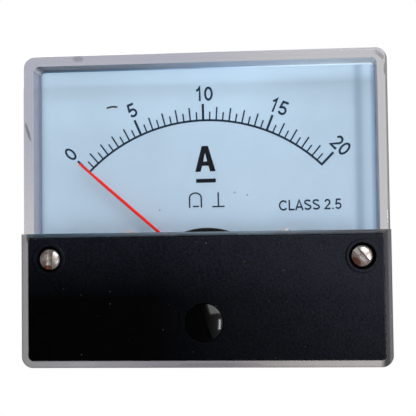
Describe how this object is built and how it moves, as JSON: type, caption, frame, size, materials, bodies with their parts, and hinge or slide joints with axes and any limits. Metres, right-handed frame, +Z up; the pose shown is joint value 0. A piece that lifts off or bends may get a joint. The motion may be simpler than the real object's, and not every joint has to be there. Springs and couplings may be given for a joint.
{
  "type": "analog panel meter",
  "caption": "Rectangular analog panel meter with clear cover, arc scale, red pointer, black lower plate with zero adjuster, round rear barrel and stud terminals.",
  "frame": {"origin": "on the barrel's axis, in the plane where the flange's back meets the panel", "axes": "X right and Z up as seen from the front, Y along the barrel towards the back; the dial faces -Y"},
  "size_m": [0.07, 0.0582, 0.06],
  "materials": {
    "clear_plastic": "clear acrylic moulding, polished",
    "black_plate": "black, fine leather grain",
    "black_case": "black phenolic moulding, satin",
    "black_gloss": "black, polished",
    "nickel": "nickel plated steel, satin",
    "zinc_steel": "zinc plated steel",
    "dial_paint": "pale blue-white enamel, printed in dark blue",
    "die_cast": "die-cast, as cast",
    "soft_iron": "soft iron, machined",
    "magnet": "sintered magnet, ground",
    "brass": "brass, turned",
    "bronze": "spring bronze strip",
    "copper_wire": "enamelled copper winding",
    "aluminium": "thin aluminium",
    "pivot_steel": "hardened steel, polished",
    "red_paint": "red lacquer on aluminium wire",
    "shunt_alloy": "copper-manganese resistance strip",
    "lead_insulation": "insulated hook-up wire",
    "resistor_body": "green lacquered wire-wound resistor"
  },
  "bodies": {
    "case": {"clear_cover": "clear_plastic", "front_plate": "black_plate", "cover_screws": "nickel", "case_base": "black_case", "mounting_studs": "zinc_steel", "dial_plate": "dial_paint", "dial_screws": "nickel", "pointer_stops": "nickel", "movement_frame": "die_cast", "frame_screws": "zinc_steel", "yoke_ring": "soft_iron", "magnet_core": "magnet", "core_spacers": "brass", "rear_hairspring": "bronze", "front_bridge": "brass", "rear_bridge": "brass", "bridge_screws": "zinc_steel", "front_jewel_screw": "brass", "rear_jewel_screw": "brass", "rear_lock_nut": "brass", "rear_anchor": "bronze", "shunt_strip": "shunt_alloy", "lead_left": "lead_insulation", "lead_right": "lead_insulation", "series_resistor": "resistor_body", "terminal_studs": "brass", "inner_washers": "brass", "inner_nuts": "brass", "solder_tags": "nickel", "outer_washers": "brass", "spring_washers": "zinc_steel", "outer_nuts": "brass"},
    "zero_adjuster": {"zero_adjuster": "black_gloss"},
    "zero_lever": {"zero_lever": "bronze", "front_hairspring": "bronze"},
    "moving_element": {"coil_former": "aluminium", "moving_coil": "copper_wire", "front_pivot": "pivot_steel", "rear_pivot": "pivot_steel", "pointer_carrier": "aluminium", "pointer": "red_paint", "balance_weights": "brass"}
  },
  "joints": [
    {"name": "zero_adjust", "type": "hinge", "parent": "case", "child": "zero_adjuster", "pos_m": [0, -0.011, -0.01855], "axis": [0, 1, 0], "range_deg": [-30, 30]},
    {"name": "zero_lever_turn", "type": "hinge", "parent": "case", "child": "zero_lever", "pos_m": [0, -0.0076, -0.01185], "axis": [0, 1, 0], "range_deg": [-5.4, 5.4]},
    {"name": "pointer_swing", "type": "hinge", "parent": "zero_lever", "child": "moving_element", "pos_m": [0, -0.0056, -0.01185], "axis": [0, 1, 0], "range_deg": [-1, 91], "stiffness_Nm_per_rad": 0.00002, "deforming": ["front_hairspring", "rear_hairspring"]}
  ],
  "couplings": [
    {"joint": "zero_adjust", "follows": "zero_lever_turn", "ratio": -5.55}
  ]
}
